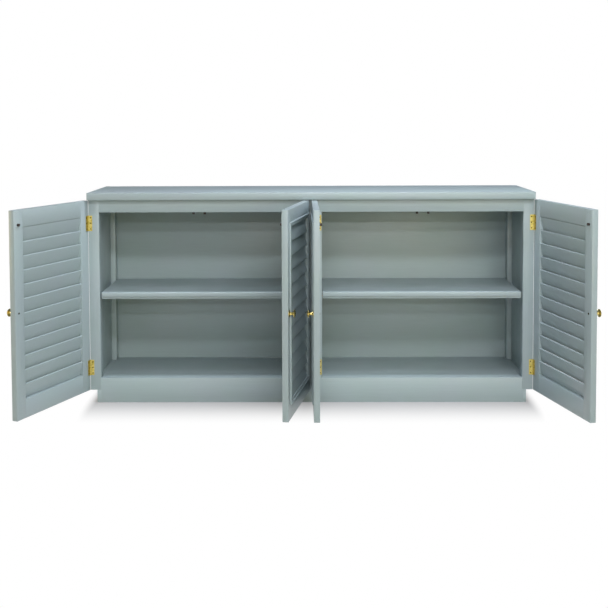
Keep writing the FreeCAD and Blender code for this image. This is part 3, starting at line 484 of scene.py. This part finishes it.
def join(meshes: Iterable[bmesh.types.BMesh]) -> bmesh.types.BMesh:
    """Gathers several meshes in one, and frees them.

    Args:
        meshes: the meshes to gather.

    Returns:
        One mesh with all of them.
    """
    whole = bmesh.new()
    for mesh in meshes:
        part = bpy.data.meshes.new("part")
        mesh.to_mesh(part)
        mesh.free()
        whole.from_mesh(part)
        bpy.data.meshes.remove(part)
    return whole


def piece(
    name: str,
    mesh: bmesh.types.BMesh,
    material: bpy.types.Material,
    body: str,
    nodes: Sequence[str],
) -> None:
    """Turns a mesh into a finished piece that rides on a body.

    Args:
        name: the piece's name.
        mesh: its mesh, which is freed.
        material: its finish.
        body: the body it moves with.
        nodes: the plain parts it stands for.
    """
    data = bpy.data.meshes.new(name)
    mesh.to_mesh(data)
    mesh.free()
    data.set_sharp_from_angle(angle=math.radians(SHARP_DEGREES))
    data.materials.append(material)
    thing = bpy.data.objects.new(name, data)
    bpy.context.scene.collection.objects.link(thing)
    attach(thing, body)
    if nodes:
        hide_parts(*nodes)
    log.info("%s: %d faces on %s", name, len(data.polygons), body)


def dress(node: str, material: bpy.types.Material) -> None:
    """Gives a plain part its finish, with its mesh untouched.

    Args:
        node: the part's name.
        material: its finish.
    """
    data = frame["nodes"][node].data
    if not data.materials:
        data.materials.append(material)
    for index in range(len(data.materials)):
        data.materials[index] = material
    log.info("%s keeps its own shape", node)


# ------------------------------------------------------------------ the case


@dataclass
class Case:
    """The carcass: posts, rails, panels, plinth, floor, shelves and top."""

    paint: PaintBox
    ease: float = 0.5 * MM
    top_ease: float = 1.6 * MM
    shelf_ease: float = 2.0 * MM
    joint_ease: float = 0.25 * MM
    rear_post: float = 46.5 * MM
    plinth_board: float = 20.0 * MM
    half_bearer: float = 22.0 * MM
    shelf_thick: float = 19.0 * MM
    batten_back: float = 6.0 * MM
    batten_depth: float = 20.0 * MM

    def painted(self, node: str, mesh: bmesh.types.BMesh, grain: Grain) -> None:
        """Makes a mesh the painted piece that stands for a node of the case.

        Args:
            node: the part it stands for.
            mesh: its mesh.
            grain: the way its wood runs.
        """
        finish = self.paint.enamel[grain]
        piece(node + "_painted", mesh, finish, "case", [node])

    def board_from(
        self, node: str, grain: Grain, ease: float, along: Sequence[int] = (0, 1, 2)
    ) -> None:
        """Makes one eased board where a node is.

        Args:
            node: the part it stands for.
            grain: the way its wood runs.
            ease: radius of its eased edges.
            along: the axes whose parallel edges are eased.
        """
        low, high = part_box(node)
        mesh = eased_board(tuple(high - low), tuple((low + high) / 2), ease, along)
        self.painted(node, mesh, grain)

    def boards_between(
        self, node: str, spans: Sequence[tuple[Point, Point]], grain: Grain, ease: float
    ) -> None:
        """Makes one piece of several eased boards.

        Args:
            node: the part they stand for.
            spans: the low and high corners of each board.
            grain: the way the wood runs.
            ease: radius of the eased edges.
        """
        meshes = []
        for low, high in spans:
            size = tuple(b - a for a, b in zip(low, high))
            centre = tuple((a + b) / 2 for a, b in zip(low, high))
            meshes.append(eased_board(size, centre, ease))
        self.painted(node, join(meshes), grain)

    def build(self) -> None:
        """Builds every board of the case."""
        self.board_from("top_board", Grain.ALONG_X, self.top_ease)
        # the outer posts stay crisp at the hinges, so no light shows past the doors
        for node, ease in (
            ("front_post_left", self.joint_ease),
            ("front_post_right", self.joint_ease),
            ("centre_stile", self.ease),
        ):
            self.board_from(node, Grain.ALONG_Z, ease)
        self.board_from("top_rail", Grain.ALONG_X, self.ease, (0,))
        for node in ("side_panel_left", "side_panel_right", "centre_partition"):
            self.board_from(node, Grain.ALONG_Z, self.joint_ease)
        self.board_from("back_panel", Grain.ALONG_X, self.joint_ease)
        self.rear_posts()
        self.apron()
        self.plinth()
        self.floor()
        for node in ("shelf_left", "shelf_right"):
            self.shelf(node)

    def rear_posts(self) -> None:
        """Builds the rear corner posts and the partition's rear post, before the back panel."""
        low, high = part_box("rear_posts")
        back_low, back_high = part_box("back_panel")
        stile_low, stile_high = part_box("centre_stile")
        spans = [
            (tuple(low), (low.x + self.rear_post, back_low.y, high.z)),
            ((high.x - self.rear_post, low.y, low.z), (high.x, back_low.y, high.z)),
            ((stile_low.x, low.y, stile_low.z), (stile_high.x, back_low.y, high.z)),
            ((low.x, back_low.y, low.z), (back_low.x, high.y, high.z)),
            ((back_high.x, back_low.y, low.z), tuple(high)),
        ]
        self.boards_between("rear_posts", spans, Grain.ALONG_Z, self.joint_ease)

    def apron(self) -> None:
        """Builds the apron in one piece: the rail between the posts and the wider plinth front."""
        low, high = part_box("front_apron")
        post_low, post_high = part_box("front_post_left")
        inner = abs(post_high.x)
        end = abs(low.x) - inner
        depth, middle_y = high.y - low.y, (low.y + high.y) / 2
        mesh = eased_board(
            (2 * inner, depth, high.z - low.z),
            (0.0, middle_y, (low.z + high.z) / 2),
            self.ease,
            (0,),
        )
        ends = [
            eased_board(
                (end, depth, post_low.z - low.z),
                (side * (inner + end / 2), middle_y, (low.z + post_low.z) / 2),
                self.joint_ease,
            )
            for side in (-1, 1)
        ]
        self.painted("front_apron", join([mesh, *ends]), Grain.ALONG_X)

    def plinth(self) -> None:
        """Builds the plinth's sides and back, and the bearer under the middle."""
        low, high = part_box("plinth_frame")
        floor_low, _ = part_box("floor_board")
        post_low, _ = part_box("front_post_left")
        board, half = self.plinth_board, self.half_bearer
        spans = [
            (tuple(low), (low.x + board, high.y, post_low.z)),
            ((high.x - board, low.y, low.z), (high.x, high.y, post_low.z)),
            ((low.x + board, high.y - board, low.z), (high.x - board, high.y, floor_low.z)),
            ((-half, low.y, low.z), (half, high.y - board, floor_low.z)),
        ]
        self.boards_between("plinth_frame", spans, Grain.ALONG_X, self.joint_ease)

    def floor(self) -> None:
        """Builds the cabinet floor between the posts and its ends in the sides' housings."""
        low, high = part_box("floor_board")
        side_low, side_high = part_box("side_panel_left")
        _, right_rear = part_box("rear_posts")
        inner = right_rear.x - self.rear_post
        spans = [
            ((-inner, low.y, low.z), (inner, high.y, high.z)),
            ((low.x, side_low.y, low.z), (-inner, side_high.y, high.z)),
            ((inner, side_low.y, low.z), (high.x, side_high.y, high.z)),
        ]
        self.boards_between("floor_board", spans, Grain.ALONG_X, self.joint_ease)

    def shelf(self, node: str) -> None:
        """Builds one shelf: an eased board with a batten set back under its front edge.

        Args:
            node: the shelf it stands for.
        """
        low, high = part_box(node)
        thick = self.shelf_thick
        board = eased_board(
            (high.x - low.x, high.y - low.y, thick),
            ((low.x + high.x) / 2, (low.y + high.y) / 2, high.z - thick / 2),
            self.shelf_ease,
            (0,),
            3,
        )
        under = high.z - thick
        batten = eased_board(
            (high.x - low.x, self.batten_depth, under - low.z),
            (
                (low.x + high.x) / 2,
                low.y + self.batten_back + self.batten_depth / 2,
                (low.z + under) / 2,
            ),
            self.ease,
            (0,),
        )
        self.painted(node, join([board, batten]), Grain.ALONG_X)


# ------------------------------------------------------------------ the doors


@dataclass
class Door:
    """One louvred door, built closed about its hinge pins and then swung open."""

    name: str
    paint: PaintBox
    width: float
    pin_out: float = 0.2 * MM
    bottom: float = 53.0 * MM
    height: float = 787.0 * MM
    thick: float = 23.0 * MM
    hinge_gap: float = 0.5 * MM
    stile: float = 50.0 * MM
    top_rail: float = 65.0 * MM
    bottom_rail: float = 72.0 * MM
    slat_count: int = 12
    slat_width: float = 59.5 * MM
    slat_thick: float = 7.0 * MM
    slat_tilt: float = 13.5
    slat_end_gap: float = 0.5 * MM
    slat_tenon: float = 8.0 * MM
    slat_ease: float = 2.4 * MM
    slat_steps: int = 4
    slat_trim: float = 0.4 * MM
    ease: float = 0.7 * MM
    joint_ease: float = 0.3 * MM
    knob_from_edge: float = 20.0 * MM
    knob_height: float = 455.0 * MM

    def __post_init__(self) -> None:
        """Finds the door's hand, and the turn about its pin that opens it, from its joint."""
        joint = next(j for j in frame["record"]["behaviour"]["joints"] if j["child"] == self.name)
        pin = Vector(joint["pos_m"])
        self.hand = -round(joint["axis"][2])
        turn = Matrix.Rotation(math.radians(joint["range_deg"][0]), 4, joint["axis"])
        self.swing = Matrix.Translation((pin.x, pin.y, 0.0)) @ turn.inverted()

    def at(self, x: float, y: float, z: float) -> Point:
        """A point of the closed door, x from the pin towards the free edge."""
        return (self.hand * x, y, z)

    def add(
        self,
        mesh: bmesh.types.BMesh,
        suffix: str,
        material: bpy.types.Material,
        nodes: Sequence[str],
    ) -> None:
        """Swings a mesh open and makes it a piece of this door.

        Args:
            mesh: the mesh in the closed door's place.
            suffix: the end of the piece's name.
            material: its finish.
            nodes: the ends of the names of the parts it stands for.
        """
        bmesh.ops.transform(mesh, matrix=self.swing, verts=mesh.verts)
        full = ["%s_%s" % (self.name, n) for n in nodes]
        name = "%s_%s" % (self.name, suffix)
        piece(name, mesh, material, self.name, full)

    def build(self) -> None:
        """Builds the frame, the slats and the fittings of the door."""
        self.stiles()
        self.rails()
        self.slats()
        self.knob()
        dress(self.name + "_moulding", self.paint.enamel[Grain.ALONG_Z])
        dress(self.name + "_strike", self.paint.nylon)
        dress(self.name + "_hinge_leaves", self.paint.hinge_brass)
        dress(self.name + "_fixings", self.paint.screw_brass)

    def frame_board(
        self, x0: float, x1: float, z0: float, z1: float, ease: float, along: Sequence[int]
    ) -> bmesh.types.BMesh:
        """One eased board of the door's frame.

        Args:
            x0: its side nearer the pin.
            x1: its side nearer the free edge.
            z0: its lower end.
            z1: its upper end.
            ease: radius of its eased edges.
            along: the axes whose parallel edges are eased.

        Returns:
            The board's mesh.
        """
        middle_y = -self.hinge_gap - self.thick / 2
        size = (x1 - x0, self.thick, z1 - z0)
        centre = self.at((x0 + x1) / 2, middle_y, (z0 + z1) / 2)
        return eased_board(size, centre, ease, along)

    def stiles(self) -> None:
        """Builds the hinge stile and the free stile."""
        free = self.pin_out + self.width
        top = self.bottom + self.height
        for suffix, x0, x1, ease in (
            ("hinge_stile", self.pin_out, self.pin_out + self.stile, self.joint_ease),
            ("free_stile", free - self.stile, free, self.ease),
        ):
            mesh = self.frame_board(x0, x1, self.bottom, top, ease, (0, 1, 2))
            self.add(mesh, suffix + "_painted", self.paint.enamel[Grain.ALONG_Z], [suffix])

    def rails(self) -> None:
        """Builds the top and bottom rails between the stiles."""
        x0 = self.pin_out + self.stile
        x1 = self.pin_out + self.width - self.stile
        top = self.bottom + self.height
        for suffix, z0, z1 in (
            ("top_rail", top - self.top_rail, top),
            ("bottom_rail", self.bottom, self.bottom + self.bottom_rail),
        ):
            mesh = self.frame_board(x0, x1, z0, z1, self.ease, (0,))
            self.add(mesh, suffix + "_painted", self.paint.enamel[Grain.ALONG_X], [suffix])

    def slats(self) -> None:
        """Builds the twelve slats, outer edges low, with their ends in the stiles."""
        x0 = self.pin_out + self.stile - self.slat_tenon
        x1 = self.pin_out + self.width - self.stile + self.slat_tenon
        tilt = math.radians(self.slat_tilt)
        # the height of a tilted slat with fully round edges, which sets its row in the stiles
        rise = (self.slat_width - self.slat_thick) * math.cos(tilt) + self.slat_thick
        low = self.bottom + self.bottom_rail + self.slat_end_gap + rise / 2
        high = self.bottom + self.height - self.top_rail - self.slat_end_gap - rise / 2
        pitch = (high - low) / (self.slat_count - 1)
        middle_y = -self.hinge_gap - self.thick / 2
        meshes = []
        for number in range(self.slat_count):
            slat = eased_board(
                (x1 - x0, self.slat_thick, self.slat_width - self.slat_trim),
                (0, 0, 0),
                self.slat_ease,
                (0,),
                self.slat_steps,
            )
            bmesh.ops.rotate(
                slat, verts=slat.verts, cent=(0, 0, 0), matrix=Matrix.Rotation(-tilt, 3, "X")
            )
            spot = self.at((x0 + x1) / 2, middle_y, low + number * pitch)
            bmesh.ops.translate(slat, vec=Vector(spot), verts=slat.verts)
            meshes.append(slat)
        self.add(join(meshes), "slats_painted", self.paint.enamel[Grain.ALONG_X], ["slats"])

    def knob(self) -> None:
        """Turns the brass knob with its round plate."""
        face_y = -self.hinge_gap - self.thick
        mesh = turned([(r * MM, h * MM) for r, h in KNOB_PROFILE])
        outward = Matrix.Rotation(math.radians(90), 4, "X")
        free = self.pin_out + self.width
        spot = Matrix.Translation(self.at(free - self.knob_from_edge, face_y, self.knob_height))
        bmesh.ops.transform(mesh, matrix=spot @ outward, verts=mesh.verts)
        self.add(mesh, "knob_turned", self.paint.knob_brass, ["knob"])


# ------------------------------------------------------------------ studio


@dataclass(frozen=True)
class Strip:
    """A soft rectangular lamp, turned to face a point."""

    name: str
    middle: Point
    aim: Point
    length: float
    breadth: float
    power: float
    tint: str

    def hang(self) -> None:
        """Adds the lamp to the scene."""
        lamp = bpy.data.lights.new(self.name, "AREA")
        lamp.shape = "RECTANGLE"
        lamp.size = self.length
        lamp.size_y = self.breadth
        lamp.energy = self.power
        lamp.color = linear(self.tint)[:3]
        thing = bpy.data.objects.new(self.name, lamp)
        thing.location = self.middle
        toward = Vector(self.aim) - Vector(self.middle)
        thing.rotation_euler = toward.to_track_quat("-Z", "Y").to_euler()
        thing.visible_camera = False
        bpy.context.scene.collection.objects.link(thing)


@dataclass
class Studio:
    """Floor, background, lamps and camera.

    The footprint is half the plinth's width and depth. Near it the eye sees the floor in a darker
    grey: painted shadow that deepens the lamps' real shadow, and fades into the white between
    shadow_from and shadow_to metres from it. axis_px is the picture's row that the lens's axis
    meets, and the camera's turns are in radians.
    """

    footprint: Point = (0.887, 0.148, 0.0)
    shadow_from: float = -0.1
    shadow_to: float = 0.32
    shadow_narrowing: Point = (6, 1, 0)
    floor_half: float = 30.0
    floor_bounce: str = "aeaeae"
    # the grey the eye sees near the plinth: painted shade that deepens the lamps' real shadow there
    painted_floor_shade: str = "999999"
    air: str = "fffcf4"
    ambient: float = 0.055
    lamps: tuple[Strip, ...] = (
        Strip("ceiling_strip_far", (0.9, -11.2, CEILING), MIDDLE, 5.5, 0.24, 142.0, PALE),
        Strip("ceiling_strip_mid", (0.7, -7.5, CEILING), MIDDLE, 4.4, 0.2, 74.0, PALE),
        Strip("ceiling_strip_near", (0.9, -3.88, CEILING), MIDDLE, 3.4, 0.14, 92.0, PALE),
        Strip("ceiling_strip_front", (0.23, -1.28, CEILING), MIDDLE, 2.6, 0.12, 18.0, COOL),
        Strip("ceiling_strip_right", (2.84, -1.28, CEILING), MIDDLE, 2.6, 0.12, 32.0, COOL),
        Strip("ceiling_strip_over", (0.3, -0.5, CEILING), (0.3, -0.4, 0.6), 4.0, 0.12, 86.0, COOL),
        Strip("front_fill", (0.0, -6.0, 0.9), MIDDLE, 4.0, 1.2, 28.0, CREAM),
        Strip("front_right_fill", (3.0, -5.5, 0.9), MIDDLE, 2.5, 1.2, 37.0, CREAM),
        Strip("left_front_fill", (-5.0, -1.2, 1.2), (0.0, -0.4, 0.6), 1.6, 1.6, 46.0, AMBER),
        Strip("left_fill", (-5.0, 0.6, 1.6), MIDDLE, 2.0, 2.0, 30.0, AMBER),
        Strip("right_fill", (5.0, 0.6, 1.6), MIDDLE, 2.0, 2.0, 25.0, AMBER),
        Strip("rear_fill", (0.0, 5.0, 0.4), (0.0, 0.0, 0.4), 4.0, 0.6, 110.0, "ffffff"),
    )
    focal_px: float = 960.1
    axis_px: float = 165.0
    eye: Point = (8.5 * MM, -4096.7 * MM, 1183.8 * MM)
    yaw: float = -0.0090
    pitch: float = 0.0510
    roll: float = -0.0036

    def build(self) -> None:
        """Sets the whole stage."""
        self.floor()
        self.background()
        for lamp in self.lamps:
            lamp.hang()
        self.camera()

    def floor(self) -> None:
        """Lays the pale floor, which keeps the lamps' shadow under the plinth, deepened there by
        painted shade.
        """
        mesh = bmesh.new()
        bmesh.ops.create_grid(mesh, x_segments=1, y_segments=1, size=self.floor_half)
        data = bpy.data.meshes.new("studio_floor")
        mesh.to_mesh(data)
        mesh.free()
        data.materials.append(self.floor_finish())
        thing = bpy.data.objects.new("studio_floor", data)
        bpy.context.scene.collection.objects.link(thing)

    def floor_finish(self) -> bpy.types.Material:
        """Makes the floor's paint: plain to the lamps; to the eye, a darker grey near the plinth,
        painted shade over the real shadow, and white beyond it.

        Returns:
            The floor's material.
        """
        material, tree = new_material("pale_floor")
        bounce = add_node(tree, "ShaderNodeBsdfDiffuse", links={"Color": linear(self.floor_bounce)})
        shade = add_node(tree, "ShaderNodeBsdfDiffuse", links={"Color": linear(self.painted_floor_shade)})
        white = add_node(tree, "ShaderNodeEmission", links={"Color": (1, 1, 1, 1), "Strength": 1.0})
        # painted shadow: near the plinth the eye sees the floor in a darker grey, which deepens the
        # lamps' real shadow and fades into the white further out, sooner at its ends
        place = add_node(tree, "ShaderNodeTexCoord")
        folded = add_node(
            tree, "ShaderNodeVectorMath", {"operation": "ABSOLUTE"}, {0: place.outputs["Object"]}
        )
        beyond = add_node(
            tree,
            "ShaderNodeVectorMath",
            {"operation": "SUBTRACT"},
            {0: folded.outputs[0], 1: self.footprint},
        )
        outside = add_node(
            tree,
            "ShaderNodeVectorMath",
            {"operation": "MAXIMUM"},
            {0: beyond.outputs[0], 1: (0, 0, 0)},
        )
        quicker = add_node(
            tree,
            "ShaderNodeVectorMath",
            {"operation": "MULTIPLY"},
            {0: outside.outputs[0], 1: self.shadow_narrowing},
        )
        reach = add_node(
            tree, "ShaderNodeVectorMath", {"operation": "LENGTH"}, {0: quicker.outputs[0]}
        )
        fade = add_node(
            tree,
            "ShaderNodeMapRange",
            {"interpolation_type": "SMOOTHSTEP"},
            {
                "Value": reach.outputs["Value"],
                "From Min": self.shadow_from,
                "From Max": self.shadow_to,
            },
        )
        seen = add_node(
            tree,
            "ShaderNodeMixShader",
            links={0: fade.outputs["Result"], 1: shade.outputs[0], 2: white.outputs[0]},
        )
        path = add_node(tree, "ShaderNodeLightPath")
        glossy = add_node(
            tree,
            "ShaderNodeMath",
            {"operation": "MAXIMUM"},
            {0: path.outputs["Is Camera Ray"], 1: path.outputs["Is Glossy Ray"]},
        )
        clear = add_node(
            tree,
            "ShaderNodeMath",
            {"operation": "MAXIMUM"},
            {0: glossy.outputs[0], 1: path.outputs["Is Transmission Ray"]},
        )
        final = add_node(
            tree,
            "ShaderNodeMixShader",
            links={0: clear.outputs[0], 1: bounce.outputs[0], 2: seen.outputs[0]},
        )
        add_node(tree, "ShaderNodeOutputMaterial", links={"Surface": final.outputs[0]})
        return material

    def background(self) -> None:
        """Makes the world white to the eye and a soft fill to the object."""
        world = bpy.data.worlds.new("studio")
        world.use_nodes = True
        tree = world.node_tree
        tree.nodes.clear()
        soft = {"Color": linear(self.air), "Strength": self.ambient}
        fill = add_node(tree, "ShaderNodeBackground", links=soft)
        bright = {"Color": (1, 1, 1, 1), "Strength": 1.0}
        white = add_node(tree, "ShaderNodeBackground", links=bright)
        path = add_node(tree, "ShaderNodeLightPath")
        seen = add_node(
            tree,
            "ShaderNodeMixShader",
            links={0: path.outputs["Is Camera Ray"], 1: fill.outputs[0], 2: white.outputs[0]},
        )
        add_node(tree, "ShaderNodeOutputWorld", links={"Surface": seen.outputs[0]})
        bpy.context.scene.world = world

    def camera(self) -> None:
        """Sets up the camera, with its frame shifted down from the lens's axis."""
        data = bpy.data.cameras.new("camera")
        data.sensor_fit = "HORIZONTAL"
        data.sensor_width = SENSOR_MM
        data.lens = self.focal_px / IMAGE_PX * SENSOR_MM
        data.shift_y = (self.axis_px - IMAGE_PX / 2) / IMAGE_PX
        data.clip_start, data.clip_end = 0.05, 100.0
        thing = bpy.data.objects.new("camera", data)
        cos_yaw, sin_yaw = math.cos(self.yaw), math.sin(self.yaw)
        cos_pitch, sin_pitch = math.cos(self.pitch), math.sin(self.pitch)
        ahead = Vector((sin_yaw * cos_pitch, cos_yaw * cos_pitch, -sin_pitch))
        level = Vector((cos_yaw, -sin_yaw, 0.0))
        over = level.cross(ahead)
        right = math.cos(self.roll) * level + math.sin(self.roll) * over
        up = -math.sin(self.roll) * level + math.cos(self.roll) * over
        turn = Matrix((right, up, -ahead)).transposed()
        thing.matrix_world = Matrix.Translation(self.eye) @ turn.to_4x4()
        bpy.context.scene.collection.objects.link(thing)
        bpy.context.scene.camera = thing


# ------------------------------------------------------------------ putting it together


def main() -> None:
    """Builds the case, the doors, the fittings and the studio, in that order."""
    logging.basicConfig(level=logging.INFO, format="%(message)s")
    paint = PaintBox().fill()
    Case(paint).build()
    outer, inner = 452.5 * MM, 431.0 * MM
    for name, width in (("door_1", outer), ("door_2", inner), ("door_3", inner), ("door_4", outer)):
        Door(name, paint, width).build()
    for node in ("hinge_frame_leaves", "hinge_pins"):
        dress(node, paint.hinge_brass)
    dress("hinge_frame_screws", paint.screw_brass)
    dress("shelf_pegs", paint.beech)
    dress("catches", paint.nylon)
    Studio().build()
    bpy.context.scene.view_settings.view_transform = "Standard"


if __name__ == "__main__":
    main()
